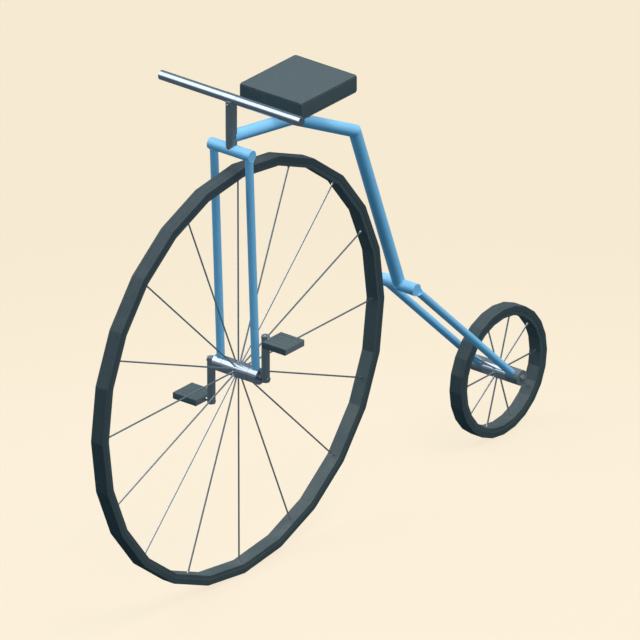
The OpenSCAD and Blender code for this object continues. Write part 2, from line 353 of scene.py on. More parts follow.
def makeWearGroup():
    # worn edges: where the surface turns within a small radius, broken up by noise
    group, start, end = newGroup(
        "edgeWear",
        [("Place", "NodeSocketVector", (0, 0, 0)), ("Radius", "NodeSocketFloat", 0.0015),
         ("Amount", "NodeSocketFloat", 0.5), ("Breakup Scale", "NodeSocketFloat", 160.0)],
        [("Mask", "NodeSocketFloat")],
    )
    rounded = group.nodes.new("ShaderNodeBevel")
    rounded.samples = 4
    group.links.new(start.outputs["Radius"], rounded.inputs["Radius"])
    sharp = group.nodes.new("ShaderNodeNewGeometry")
    match = group.nodes.new("ShaderNodeVectorMath")
    match.operation = "DOT_PRODUCT"
    group.links.new(rounded.outputs["Normal"], match.inputs[0])
    group.links.new(sharp.outputs["Normal"], match.inputs[1])
    edge = rangeNode(group, match.outputs["Value"], 0.995, 0.90)
    breakup = noiseNode(group, start.outputs["Place"], start.outputs["Breakup Scale"], 4.0, 0.6)
    spots = rangeNode(group, breakup.outputs["Fac"], 0.42, 0.62)
    broken = mathNode(group, "MULTIPLY", edge, spots)
    mask = mathNode(group, "MULTIPLY", broken, start.outputs["Amount"], clamp=True)
    group.links.new(mask, end.inputs["Mask"])
    return group


def makeDustGroup():
    # dust lies on what faces up and low down, thicker where a slow noise gathers it
    group, start, end = newGroup(
        "dust",
        [("Place", "NodeSocketVector", (0, 0, 0)), ("Amount", "NodeSocketFloat", 0.2),
         ("Low", "NodeSocketFloat", -1.5), ("High", "NodeSocketFloat", -0.9)],
        [("Mask", "NodeSocketFloat")],
    )
    surface = group.nodes.new("ShaderNodeNewGeometry")
    facing = group.nodes.new("ShaderNodeSeparateXYZ")
    group.links.new(surface.outputs["Normal"], facing.inputs[0])
    where = group.nodes.new("ShaderNodeSeparateXYZ")
    group.links.new(start.outputs["Place"], where.inputs[0])
    up = rangeNode(group, facing.outputs["Z"], -0.2, 1.0)
    low = rangeNode(group, where.outputs["Z"], start.outputs["High"], start.outputs["Low"])
    gather = noiseNode(group, start.outputs["Place"], 14.0, 5.0, 0.65)
    patches = rangeNode(group, gather.outputs["Fac"], 0.35, 0.75)
    weight = mathNode(group, "ADD", mathNode(group, "MULTIPLY", up, 0.6),
                      mathNode(group, "MULTIPLY", low, 0.6))
    settled = mathNode(group, "MULTIPLY", weight, patches)
    mask = mathNode(group, "MULTIPLY", settled, start.outputs["Amount"], clamp=True)
    group.links.new(mask, end.inputs["Mask"])
    return group


def makeGrainGroup():
    # pebbled skin: rounded cells with creases between them, and a finer noise on top
    group, start, end = newGroup(
        "pebbleGrain",
        [("Place", "NodeSocketVector", (0, 0, 0)), ("Cell Scale", "NodeSocketFloat", 450.0),
         ("Fine Share", "NodeSocketFloat", 0.3)],
        [("Height", "NodeSocketFloat"), ("Crease", "NodeSocketFloat")],
    )
    cells = group.nodes.new("ShaderNodeTexVoronoi")
    cells.feature = "SMOOTH_F1"
    group.links.new(start.outputs["Place"], cells.inputs["Vector"])
    group.links.new(start.outputs["Cell Scale"], cells.inputs["Scale"])
    dome = rangeNode(group, cells.outputs["Distance"], 0.75, 0.1)
    fineScale = mathNode(group, "MULTIPLY", start.outputs["Cell Scale"], 2.7)
    fine = noiseNode(group, start.outputs["Place"], fineScale, 3.0)
    grit = mathNode(group, "MULTIPLY", fine.outputs["Fac"], start.outputs["Fine Share"])
    height = mathNode(group, "ADD", grit, dome)
    crease = mathNode(group, "SUBTRACT", 1.0, dome, clamp=True)
    group.links.new(height, end.inputs["Height"])
    group.links.new(crease, end.inputs["Crease"])
    return group


mottleGroup = makeMottleGroup()
wearGroup = makeWearGroup()
dustGroup = makeDustGroup()
grainGroup = makeGrainGroup()


def useGroup(tree, group, **values):
    node = tree.nodes.new("ShaderNodeGroup")
    node.node_tree = group
    for label, value in values.items():
        plug(tree, value, node.inputs[label.replace("_", " ")])
    return node


def newFinish(name, **fixed):
    # a material with one Principled shader whose even values are set on its own sockets
    material = bpy.data.materials.new(name)
    material.use_nodes = True
    tree = material.node_tree
    shader = tree.nodes["Principled BSDF"]
    for label, value in fixed.items():
        shader.inputs[label.replace("_", " ")].default_value = value
    return material, tree, shader


def toned(tree, color, tone):
    node = tree.nodes.new("ShaderNodeVectorMath")
    node.operation = "SCALE"
    plug(tree, color, node.inputs[0])
    plug(tree, tone, node.inputs["Scale"])
    return node.outputs["Vector"]


def bumpNode(tree, height, strength, distance, shader):
    node = tree.nodes.new("ShaderNodeBump")
    node.inputs["Strength"].default_value = strength
    node.inputs["Distance"].default_value = distance
    tree.links.new(height, node.inputs["Height"])
    tree.links.new(node.outputs["Normal"], shader.inputs["Normal"])


def tonedAndWorn(tree, look):
    # the finish's colour with its changes of tone, and the mask of its worn edges
    place = objectPlace(tree)
    tone = useGroup(tree, mottleGroup, Place=place, Slow_Scale=look["slowScale"],
                    Fine_Scale=look["fineScale"], Amount=look["toneAmount"])
    wear = useGroup(tree, wearGroup, Place=place, Radius=look["wearRadius"],
                    Amount=look["wearAmount"], Breakup_Scale=look["wearScale"])
    return place, toned(tree, look["color"], tone.outputs["Tone"]), wear.outputs["Mask"]


def layered(tree, shader, look):
    # worn edges over the colour and dust over both; the masks serve other sockets as well
    place, color, wear = tonedAndWorn(tree, look)
    dust = useGroup(tree, dustGroup, Place=place, Amount=look["dustAmount"]).outputs["Mask"]
    color = mixColor(tree, wear, color, look["worn"])
    color = mixColor(tree, dust, color, look["dustColor"])
    tree.links.new(color, shader.inputs["Base Color"])
    return place, wear, dust


def smeared(tree, place, look):
    # roughness from low to high, by a slow smeary noise
    smear = noiseNode(tree, place, look["smearScale"], 4.0, 0.6)
    return rangeNode(tree, smear.outputs["Fac"], 0.3, 0.7, look["roughLow"], look["roughHigh"])


enamelLook = {
    "color": (0.215, 0.545, 0.865), "worn": (0.46, 0.54, 0.58, 1), "dustColor": (0.42, 0.38, 0.31, 1),
    "slowScale": 5.0, "fineScale": 120.0, "toneAmount": 0.24,
    "wearRadius": 2.4 * mm, "wearAmount": 0.75, "wearScale": 150.0, "dustAmount": 0.05,
    "smearScale": 28.0, "roughLow": 0.30, "roughHigh": 0.46, "dustRough": 0.5,
    "coat": 0.15, "peelScale": 230.0, "peelBump": 0.12, "peelDepth": 0.4 * mm,
}


def makeEnamel(name, look):
    material, tree, shader = newFinish(name, Coat_Roughness=0.14, IOR=1.5, Specular_IOR_Level=0.35)
    place, wear, dust = layered(tree, shader, look)
    dulled = mathNode(tree, "MULTIPLY", dust, look["dustRough"])
    rough = mathNode(tree, "ADD", smeared(tree, place, look), dulled, clamp=True)
    tree.links.new(rough, shader.inputs["Roughness"])
    coat = mathNode(tree, "MULTIPLY", mathNode(tree, "SUBTRACT", 1.0, wear), look["coat"])
    tree.links.new(coat, shader.inputs["Coat Weight"])
    peel = noiseNode(tree, place, look["peelScale"], 2.0)
    bumpNode(tree, peel.outputs["Fac"], look["peelBump"], look["peelDepth"], shader)
    return material


tyreRubberLook = {
    "color": (0.047, 0.068, 0.077), "worn": (0.075, 0.093, 0.100, 1), "dustColor": (0.15, 0.155, 0.145, 1),
    "slowScale": 9.0, "fineScale": 210.0, "toneAmount": 0.22,
    "wearRadius": 2.2 * mm, "wearAmount": 0.55, "wearScale": 120.0, "dustAmount": 0.10,
    "smearScale": 40.0, "roughLow": 0.62, "roughHigh": 0.82,
    "grainScale": 700.0, "grainFine": 0.5, "grainBump": 0.25, "grainDepth": 0.3 * mm,
}
pedalRubberLook = {**tyreRubberLook, "color": (0.070, 0.100, 0.112), "dustAmount": 0.05}


def makeRubber(name, look):
    material, tree, shader = newFinish(name, IOR=1.45, Specular_IOR_Level=0.14)
    place = layered(tree, shader, look)[0]
    tree.links.new(smeared(tree, place, look), shader.inputs["Roughness"])
    grain = useGroup(tree, grainGroup, Place=place, Cell_Scale=look["grainScale"],
                     Fine_Share=look["grainFine"])
    bumpNode(tree, grain.outputs["Height"], look["grainBump"], look["grainDepth"], shader)
    return material


leatherLook = {
    # crease is a painted shade colour, laid into the grain's creases
    "color": (0.072, 0.101, 0.113), "crease": (0.046, 0.066, 0.075, 1), "polished": (0.094, 0.126, 0.138, 1),
    "slowScale": 11.0, "fineScale": 160.0, "toneAmount": 0.20,
    "wearRadius": 3.0 * mm, "wearAmount": 0.5, "wearScale": 95.0,
    "grainScale": 520.0, "grainFine": 0.35, "grainBump": 0.45, "grainDepth": 0.5 * mm,
    "creaseShadeShare": 0.45, "roughLow": 0.50, "roughHigh": 0.72,
}


def makeLeather(name, look):
    material, tree, shader = newFinish(name, IOR=1.45, Specular_IOR_Level=0.18)
    place, color, wear = tonedAndWorn(tree, look)
    grain = useGroup(tree, grainGroup, Place=place, Cell_Scale=look["grainScale"],
                     Fine_Share=look["grainFine"])
    # painted shade: the grain's creases darkened towards the crease colour
    creaseShade = mathNode(tree, "MULTIPLY", grain.outputs["Crease"], look["creaseShadeShare"])
    color = mixColor(tree, creaseShade, color, look["crease"])
    color = mixColor(tree, wear, color, look["polished"])
    tree.links.new(color, shader.inputs["Base Color"])
    rough = rangeNode(tree, grain.outputs["Crease"], 0.0, 1.0, look["roughLow"], look["roughHigh"],
                      smooth=False)
    tree.links.new(rough, shader.inputs["Roughness"])
    bumpNode(tree, grain.outputs["Height"], look["grainBump"], look["grainDepth"], shader)
    return material


# brushed sets how coarse the streaks are across the bicycle, against those along and up it
metalLook = {
    "slowScale": 14.0, "fineScale": 240.0, "toneAmount": 0.28, "wearRadius": 1.0 * mm, "wearScale": 220.0,
    "dustAmount": 0.05, "dustColor": (0.40, 0.37, 0.32, 1), "specular": 0.5,
    "streakScale": 420.0, "smearScale": 33.0, "streakBump": 0.06, "streakDepth": 0.2 * mm,
}
darkSteelLook = {
    **metalLook, "color": (0.215, 0.248, 0.272), "worn": (0.44, 0.48, 0.52, 1), "metallic": 0.45,
    "roughLow": 0.34, "roughHigh": 0.48, "brushed": 0.2, "wearAmount": 0.5,
}
brightSteelLook = {
    **metalLook, "color": (0.62, 0.67, 0.74), "worn": (0.90, 0.92, 0.95, 1), "metallic": 1.0,
    "roughLow": 0.13, "roughHigh": 0.22, "brushed": 0.1, "wearAmount": 0.5,
}
spokeSteelLook = {
    **metalLook, "color": (0.78, 0.77, 0.76), "worn": (0.86, 0.86, 0.86, 1), "metallic": 1.0,
    "roughLow": 0.14, "roughHigh": 0.24, "brushed": 0.4, "wearAmount": 0.3,
}
rimSteelLook = {
    **metalLook, "color": (0.052, 0.075, 0.084), "worn": (0.15, 0.18, 0.20, 1), "metallic": 0.0,
    "roughLow": 0.50, "roughHigh": 0.66, "brushed": 0.4, "wearAmount": 0.4, "specular": 0.3,
}


def makeMetal(name, look):
    material, tree, shader = newFinish(name, IOR=1.5, Specular_IOR_Level=look["specular"])
    place, _, dust = layered(tree, shader, look)
    if look["metallic"] == 0.0:   # painted steel, so the same all over
        shader.inputs["Metallic"].default_value = 0.0
    else:
        dulled = mathNode(tree, "MULTIPLY", dust, look["metallic"])
        bright = mathNode(tree, "SUBTRACT", look["metallic"], dulled, clamp=True)
        tree.links.new(bright, shader.inputs["Metallic"])
    stretch = tree.nodes.new("ShaderNodeMapping")
    tree.links.new(place, stretch.inputs["Vector"])
    stretch.inputs["Scale"].default_value = (1.0, look["brushed"], 1.0)
    streak = noiseNode(tree, stretch.outputs["Vector"], look["streakScale"], 3.0, 0.6)
    smear = noiseNode(tree, place, look["smearScale"], 4.0, 0.6)
    both = mathNode(tree, "ADD", mathNode(tree, "MULTIPLY", streak.outputs["Fac"], 0.4),
                    mathNode(tree, "MULTIPLY", smear.outputs["Fac"], 0.6))
    rough = rangeNode(tree, both, 0.35, 0.65, look["roughLow"], look["roughHigh"])
    tree.links.new(rough, shader.inputs["Roughness"])
    bumpNode(tree, streak.outputs["Fac"], look["streakBump"], look["streakDepth"], shader)
    return material


finishes = {
    "blue_paint": makeEnamel("blueEnamel", enamelLook),
    "tyre_rubber": makeRubber("tyreRubber", tyreRubberLook),
    "pedal_rubber": makeRubber("pedalRubber", pedalRubberLook),
    "saddle_leather": makeLeather("saddleLeather", leatherLook),
    "dark_steel": makeMetal("darkSteel", darkSteelLook),
    "bright_steel": makeMetal("brightSteel", brightSteelLook),
    "spoke_steel": makeMetal("spokeSteel", spokeSteelLook),
    "rim_steel": makeMetal("rimSteel", rimSteelLook),
}

slotOf = {part["node"]: part["material_slot"] for part in frame["record"]["subparts"]}
for name, node in nodes.items():
    node.data.materials.clear()
    node.data.materials.append(finishes[slotOf[name]])
print("finishes made:", len(finishes))


# surfaces from arrays

def gridQuads(rows, columns, closeRows=False, closeColumns=False):
    # four neighbours of each cell of a grid, wrapped round where a direction is closed
    r = np.arange(rows if closeRows else rows - 1)[:, None]
    c = np.arange(columns if closeColumns else columns - 1)[None, :]
    nextR, nextC = (r + 1) % rows, (c + 1) % columns
    corners = [r * columns + c, r * columns + nextC, nextR * columns + nextC, nextR * columns + c]
    return np.stack(corners, -1).reshape(-1, 4)


def volumeOf(points, faces):
    # signed volume: a sixth of the sum of corner products of each fan triangle
    total = 0.0
    for face in faces:
        corners = points[list(face)]
        total += np.einsum("ij,ij->i", np.cross(corners[1:-1], corners[2:]),
                           np.broadcast_to(corners[0], corners[1:-1].shape)).sum()
    return total / 6


def facingOut(points, faces):
    # every face turned over if together they enclose a negative volume
    if volumeOf(points, faces) < 0:
        faces = [f[::-1] for f in faces]
    return points, faces


def cappedTube(points, rows, columns):
    # a grid closed along its columns, with one face over each end
    faces = [tuple(q) for q in gridQuads(rows, columns, closeColumns=True)]
    faces.append(tuple(range(columns))[::-1])
    faces.append(tuple(range((rows - 1) * columns, rows * columns)))
    return facingOut(points.reshape(-1, 3), faces)


def closedRing(points, rows, columns):
    # a grid closed both ways
    return facingOut(points.reshape(-1, 3), [tuple(q) for q in gridQuads(rows, columns, True, True)])


def coordsOf(mesh):
    coords = np.empty(len(mesh.vertices) * 3)
    mesh.vertices.foreach_get("co", coords)
    return coords.reshape(-1, 3)


def addPiece(name, points, faces, body, slotName, replaces=(), smoothAngle=35.0, finish=None):
    mesh = bpy.data.meshes.new(name)
    mesh.from_pydata(np.asarray(points, float).tolist(), [], [list(map(int, f)) for f in faces])
    mesh.validate()
    mesh.polygons.foreach_set("use_smooth", np.ones(len(mesh.polygons), bool))
    mesh.set_sharp_from_angle(angle=math.radians(smoothAngle))
    mesh.materials.append(finish or finishes[slotName])
    piece = bpy.data.objects.new(name, mesh)
    bpy.context.scene.collection.objects.link(piece)
    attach(piece, body)
    if replaces:
        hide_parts(*replaces)
    return piece


def sideVectors(axis):
    # two unit vectors square to the axis and to each other
    axis = np.asarray(axis, float) / np.linalg.norm(axis)
    helper = upAxis if abs(axis[2]) < 0.9 else forwardAxis
    first = np.cross(helper, axis)
    first /= np.linalg.norm(first)
    return axis, first, np.cross(axis, first)


def turned(profile, origin, axis, steps=32, sides=None, cornerCut=1.12):
    # radius r and height h turned about the axis: origin + h axis + r (cos t first + sin t second);
    # with sides, r is a polygon's, 1 / cos of the angle from the flat's middle, its corners cut off
    axis, first, second = sideVectors(axis)
    profile = np.asarray(profile, float)
    t = np.arange(steps) * 2 * math.pi / steps
    scale = np.ones((len(profile), steps))
    if sides:
        half = math.pi / sides
        flat = 1 / np.cos((t + half) % (2 * half) - half)
        scale = 1 + (np.minimum(flat, cornerCut) - 1) * profile[:, 2:3]
    r = profile[:, :1] * scale
    points = (np.asarray(origin) + profile[:, 1, None, None] * axis
              + (r * np.cos(t))[..., None] * first + (r * np.sin(t))[..., None] * second)
    return cappedTube(points, len(profile), steps)


def joined(parts):
    # several shapes as one list of points and faces
    points, faces, start = [], [], 0
    for p, f in parts:
        points.append(p)
        faces += [tuple(i + start for i in face) for face in f]
        start += len(p)
    return np.concatenate(points), faces


# tyres: a rounded block profile carried round a ring of straight lengths

tyreShape = {
    "flats": 24, "edge": 1.8 * mm, "innerEdge": 0.8 * mm,
    "hold": 1.8,                # rows held this many edges in from each rounded edge
    "cornerSoft": 1.6 * mm,     # how far each side of a corner it is eased
    "cornerHold": 1.8,
    "grooves": (0.25, -0.25),   # places across the tread, as shares of its width
    "grooveWidth": 1.5 * mm, "grooveDepth": 0.8 * mm,
    "grooveRows": [(1.3, 0.0), (1.0, 0.4), (0.7, 1.0), (-0.7, 1.0), (-1.0, 0.4), (-1.3, 0.0)],
}


def tyreProfile(halfWidth, inner, outer, shape):
    # y and radius, from the inner left round over the tread to the inner right
    a = np.linspace(0, math.pi / 2, 5)
    edge, small = shape["edge"], shape["innerEdge"]
    side = [(halfWidth - small, inner), (halfWidth, inner + small), (halfWidth, inner + 2 * small),
            (halfWidth, outer - edge * shape["hold"])]
    side += [(halfWidth - edge + edge * math.cos(t), outer - edge + edge * math.sin(t)) for t in a]
    tread = [(halfWidth - edge * shape["hold"], outer)]
    for share in shape["grooves"]:
        y, half, depth = share * 2 * halfWidth, shape["grooveWidth"] / 2, shape["grooveDepth"]
        tread += [(y + half * over, outer - depth * down) for over, down in shape["grooveRows"]]
    tread.append((edge * shape["hold"] - halfWidth, outer))
    right = np.array(side)
    left = right[::-1] * [-1, 1]
    return np.concatenate([right, np.array(tread), left])


def flatSided(angle, flats):
    # share of the corner radius at each angle of a ring of straight lengths, first corner at angle 0
    half = math.pi / flats
    return math.cos(half) / np.cos(angle % (2 * half) - half)


def makeTyre(name, hubPlace, rimNode, body, shape, replaced):
    # the profile at every angle of the ring: hub + radius share (cos, sin), y kept
    outer = halfSize(replaced)[2]
    profile = tyreProfile(halfSize(replaced)[1], halfSize(rimNode)[2], outer, shape)
    corner = np.arange(shape["flats"]) * 2 * math.pi / shape["flats"]
    soft = shape["cornerSoft"] / outer
    half = math.pi / shape["flats"]
    hold = soft * shape["cornerHold"]
    offsets = np.array([-soft, 0, soft, hold, 2 * half - hold])
    angle = (corner[:, None] + offsets).ravel()
    share = flatSided(angle, shape["flats"])
    atCorner = np.arange(len(angle)) % len(offsets) == 1
    share[atCorner] = flatSided(np.array([soft]), shape["flats"])[0] * math.cos(soft)
    radius = profile[None, :, 1] * share[:, None]
    points = np.stack([hubPlace[0] + radius * np.cos(angle)[:, None],
                       np.broadcast_to(hubPlace[1] + profile[None, :, 0], radius.shape),
                       hubPlace[2] + radius * np.sin(angle)[:, None]], -1)
    ring = closedRing(points, len(angle), len(profile))
    return addPiece(name, *ring, body, "tyre_rubber", (replaced,), smoothAngle=30)


makeTyre("frontTyre", frontHub, "front_rim", "front_wheel", tyreShape, "front_tyre")
makeTyre("rearTyre", rearHub, "rear_rim", "rear_wheel", tyreShape, "rear_tyre")
print("tyres made")


# spoke nipples at the rims and collars at the hubs

# profiles in millimetres: radius about the spoke, and how far along it
fittingShape = {
    "nipple": [(2.55, 0.0), (3.8, 0.0), (3.8, 1.4), (3.3, 2.0), (3.1, 8.0), (2.8, 9.4), (2.55, 9.4)],
    "collar": [(2.5, -1.2), (3.7, -1.2), (3.7, 0.8), (3.4, 1.5), (2.9, 2.0), (2.5, 2.1)],
    "steps": 12,
}


def rimSeat(rimNode, hubPlace):
    # corner radius of the rim's inner face, where the spokes end
    coords = coordsOf(nodes[rimNode].data)
    return np.hypot(coords[:, 0] - hubPlace[0], coords[:, 2] - hubPlace[2]).min()


def spokeFittings(name, hubPlace, rimNode, hubNode, count, body, shape):
    # a nipple turned about each spoke at the rim, and a collar turned about it at the hub
    hubRadius = halfSize(hubNode)[2]
    seat = rimSeat(rimNode, hubPlace)
    nipple, collar = np.array(shape["nipple"]) * mm, np.array(shape["collar"]) * mm
    parts = []
    for k in range(count):
        angle = 2 * math.pi * k / count
        out = np.array([math.cos(angle), 0.0, -math.sin(angle)])
        rimRadius = seat * flatSided(np.array([angle]), tyreShape["flats"])[0]
        parts.append(turned(nipple, hubPlace + out * rimRadius, -out, shape["steps"]))
        parts.append(turned(collar, hubPlace + out * hubRadius, out, shape["steps"]))
    return addPiece(name, *joined(parts), body, "spoke_steel", smoothAngle=40)


spokeFittings("frontSpokeFittings", frontHub, "front_rim", "front_hub", 16, "front_wheel", fittingShape)
spokeFittings("rearSpokeFittings", rearHub, "rear_rim", "rear_hub", 10, "rear_wheel", fittingShape)
print("spoke fittings made")


# saddle pad: a firm block of padding under leather, with a piped edge

padShape = {
    "startInset": 3.0 * mm, "softEdge": 3.0 * mm, "voxel": 5.0 * mm,
    "pressure": 4.0, "frames": 20, "quality": 6,
    "cap": 2.6 * mm,            # how far a point may swell
    "fill": 0.9,
    "press": 2.0 * mm,          # depth over which the swollen pad is eased to its box
    "pipe": 2.3 * mm, "pipeInset": 0.3 * mm, "cornerRadius": 6.0 * mm,
    "stitchInset": 0.3 * mm, "stitchPitch": 7.5 * mm, "stitchBelow": 6.5 * mm,
    "stitchLong": 4.2 * mm, "stitchThick": 0.55 * mm, "stitchSides": 6,
    "stitchRows": [(0.35, -0.06), (0.85, 0.0), (1.0, 0.15), (1.0, 0.85), (0.85, 1.0), (0.35, 1.06)],
}


def blockSurface(low, high, radius, steps=5):
    # box with rounded edges: each corner of the inner box + radius (cos u cos v, cos u sin v, sin u)
    u = np.linspace(-math.pi / 2, math.pi / 2, 2 * steps)
    at = np.arange(4 * steps)
    quarter = at // steps
    v = (quarter + (at % steps) / (steps - 1)) * math.pi / 2
    signX = np.array([1, -1, -1, 1])[quarter]
    signY = np.array([1, 1, -1, -1])[quarter]
    signZ = np.where(u < 0, -1.0, 1.0)
    centre, half = (low + high) / 2, (high - low) / 2 - radius
    x = centre[0] + signX * half[0] + radius * np.cos(u)[:, None] * np.cos(v)
    y = centre[1] + signY * half[1] + radius * np.cos(u)[:, None] * np.sin(v)
    z = np.broadcast_to((centre[2] + signZ * half[2] + radius * np.sin(u))[:, None], x.shape)
    return cappedTube(np.stack([x, y, z], -1), *x.shape)


def bakeModifiers(piece):
    # the mesh as its modifiers leave it, with none left on the piece
    depsgraph = bpy.context.evaluated_depsgraph_get()
    done = bpy.data.meshes.new_from_object(piece.evaluated_get(depsgraph), depsgraph=depsgraph)
    old = piece.data
    piece.modifiers.clear()
    piece.data = done
    done.name = piece.name
    bpy.data.meshes.remove(old)


def makePad(shape):
    # block surface, remeshed and swollen; then each point is scaled to just past the box and eased
    # back by press (1 - exp(-over / press)), so that it nears the box's faces and never passes them
    low, high = nodeBox("saddle_pad")
    block = blockSurface(low + shape["startInset"], high - shape["startInset"], shape["softEdge"])
    pad = addPiece("saddlePad", *block, bodyOf("saddle_pad"), "saddle_leather", ("saddle_pad",), smoothAngle=60)
    remesh = pad.modifiers.new("even", "REMESH")
    remesh.mode = "VOXEL"
    remesh.voxel_size = shape["voxel"]
    bakeModifiers(pad)
    swell(pad, shape)
    smooth = pad.modifiers.new("smooth", "SUBSURF")
    smooth.levels = smooth.render_levels = 1
    bakeModifiers(pad)
    place = coordsOf(pad.data)
    least, most = place.min(0), place.max(0)
    limit, press = (high - low) / 2, shape["press"]
    spread = (place - (least + most) / 2) / ((most - least) / 2) * (limit + press)
    over = np.maximum(np.abs(spread) - (limit - press), 0)
    eased = limit - press + press * (1 - np.exp(-over / press))
    place = (low + high) / 2 + np.sign(spread) * np.where(over > 0, eased, np.abs(spread))
    pad.data.vertices.foreach_set("co", place.ravel())
    pad.data.polygons.foreach_set("use_smooth", np.ones(len(pad.data.polygons), bool))
    pad.data.update()
    return pad


def swell(pad, shape):
    # blow the leather up from inside, then hold every point within the cap of where it began
    start = coordsOf(pad.data)
    cloth = pad.modifiers.new("stuffing", "CLOTH")
    cloth.settings.use_pressure = True
    cloth.settings.uniform_pressure_force = shape["pressure"]
    cloth.settings.effector_weights.gravity = 0
    cloth.settings.quality = shape["quality"]
    cloth.collision_settings.use_collision = False
    cloth.point_cache.frame_start, cloth.point_cache.frame_end = 1, shape["frames"]
    scene = bpy.context.scene
    for step in range(1, shape["frames"] + 1):
        scene.frame_set(step)
    bakeModifiers(pad)
    scene.frame_set(1)
    move = coordsOf(pad.data) - start
    length = np.linalg.norm(move, axis=1, keepdims=True)
    move *= np.minimum(1, shape["cap"] / np.maximum(length, 1e-9))
    pad.data.vertices.foreach_set("co", (start + move).ravel())
    pad.data.update()


def loopPath(low, high, z, radius, steps=8):
    # rounded rectangle: each corner a quarter circle about its own centre
    t = np.linspace(0, math.pi / 2, steps)
    t = np.concatenate([t + k * math.pi / 2 for k in range(4)])
    corner = np.repeat(np.arange(4), steps)
    signX, signY = np.array([1, -1, -1, 1])[corner], np.array([1, 1, -1, -1])[corner]
    centre, half = (low + high) / 2, (high - low) / 2 - radius
    return np.stack([centre[0] + signX * half[0] + radius * np.cos(t),
                     centre[1] + signY * half[1] + radius * np.sin(t), np.full(len(t), z)], 1)


def ringTube(path, radius, outward, steps=10):
    # circle of the given radius carried round a closed path: path + radius (cos a outward + sin a square)
    tangent = np.roll(path, -1, 0) - np.roll(path, 1, 0)
    tangent /= np.linalg.norm(tangent, axis=1, keepdims=True)
    out = outward - (outward * tangent).sum(1, keepdims=True) * tangent
    out /= np.linalg.norm(out, axis=1, keepdims=True)
    square = np.cross(tangent, out)
    a = (np.arange(steps) * 2 * math.pi / steps)[:, None]
    points = path[:, None] + radius * (np.cos(a) * out[:, None] + np.sin(a) * square[:, None])
    return closedRing(points, len(path), steps)


def makePiping(shape):
    # two tubes round the pad, at its top and bottom edges
    low, high = nodeBox("saddle_pad")
    pipe = shape["pipe"]
    inset = pipe + shape["pipeInset"]
    parts = []
    for z in (high[2] - inset, low[2] + inset):
        path = loopPath(low + inset, high - inset, z, shape["cornerRadius"])
        parts.append(ringTube(path, pipe, path - np.array([0, 0, z])))
    addPiece("saddlePiping", *joined(parts), bodyOf("saddle_pad"), "saddle_leather", smoothAngle=60)


def makeStitches(shape, pad):
    # short rounded dashes in a row on the pad's side, just under the top piping
    low, high = nodeBox("saddle_pad")
    inset = shape["stitchInset"]
    path = loopPath(low + inset, high - inset, high[2] - shape["stitchBelow"], shape["cornerRadius"])
    closed = np.concatenate([path, path[:1]])
    run = np.concatenate([[0], np.cumsum(np.linalg.norm(np.diff(closed, axis=0), axis=1))])
    count = int(run[-1] // shape["stitchPitch"])
    at = np.arange(count) * run[-1] / count
    half = shape["stitchLong"] / 2
    begins, ends = (np.stack([np.interp((at + d) % run[-1], run, closed[:, k]) for k in range(3)], 1)
                    for d in (-half, half))
    parts = []
    for begin, end in zip(begins, ends):
        begin, end = (np.array(pad.closest_point_on_mesh(Vector(p))[1]) for p in (begin, end))
        axis = end - begin
        rows = np.array(shape["stitchRows"]) * [shape["stitchThick"], np.linalg.norm(axis)]
        parts.append(turned(rows, begin, axis, shape["stitchSides"]))
    addPiece("saddleStitches", *joined(parts), bodyOf("saddle_pad"), "saddle_leather", smoothAngle=50,
             finish=threadFinish)


threadLook = {"color": (0.125, 0.140, 0.140), "dark": (0.070, 0.080, 0.082, 1), "twistScale": 900.0}


def makeThread(name, look):
    material, tree, shader = newFinish(name, IOR=1.45, Specular_IOR_Level=0.2)
    place = objectPlace(tree)
    tone = useGroup(tree, mottleGroup, Place=place, Slow_Scale=40.0, Fine_Scale=500.0, Amount=0.3)
    twist = noiseNode(tree, place, look["twistScale"], 2.0)
    color = mixColor(tree, rangeNode(tree, twist.outputs["Fac"], 0.4, 0.6, 0.0, 0.6),
                     toned(tree, look["color"], tone.outputs["Tone"]), look["dark"])
    tree.links.new(color, shader.inputs["Base Color"])
    tree.links.new(rangeNode(tree, twist.outputs["Fac"], 0.3, 0.7, 0.7, 0.9), shader.inputs["Roughness"])
    bumpNode(tree, twist.outputs["Fac"], 0.3, 0.0002, shader)
    return material


threadFinish = makeThread("saddleThread", threadLook)
pad = makePad(padShape)
makePiping(padShape)
makeStitches(padShape, pad)
print("saddle made")


# pedals: a ribbed rubber block between two thin end plates

pedalShape = {
    "plate": 1.6 * mm, "plateInset": 1.2 * mm, "plateEdge": 0.8, "plateChamfer": 0.3 * mm,
    "edge": 1.8 * mm, "chamfer": 0.8 * mm,
    "grooves": 4, "grooveWidth": 1.3 * mm, "grooveDepth": 0.6 * mm,
    "grooveRows": [(0.7, 0.0), (0.45, 1.0), (-0.45, 1.0), (-0.7, 0.0)],
    "rivetPlaces": (-0.68, 0.68), "rivetRadius": 2.4 * mm, "rivetRise": 0.9 * mm, "rivetSink": 1.0 * mm,
    "setIn": 0.6,      # share of the rivet's rise that the plate is set back, so that no rivet stands out
    "domeShare": 0.55, "domeUpTo": 1.35, "rivetSides": 14,
}


def barProfile(halfX, halfZ, edge, grooves=None, steps=5):
    # rounded rectangle in x and z, with shallow grooves sunk in its top and bottom
    a = np.linspace(0, math.pi / 2, steps)
    roundEdge = np.stack([halfX - edge + edge * np.cos(a), halfZ - edge + edge * np.sin(a)], 1)
    half = [roundEdge]
    if grooves:
        count, width, depth = grooves["grooves"], grooves["grooveWidth"], grooves["grooveDepth"]
        half.append(np.array([((1 - 2 * (k + 1) / (count + 1)) * halfX + width * over, halfZ - depth * down)
                              for k in range(count) for over, down in grooves["grooveRows"]]))
    half = np.concatenate(half + [(roundEdge * [-1, 1])[::-1]])
    return np.concatenate([half, -half])


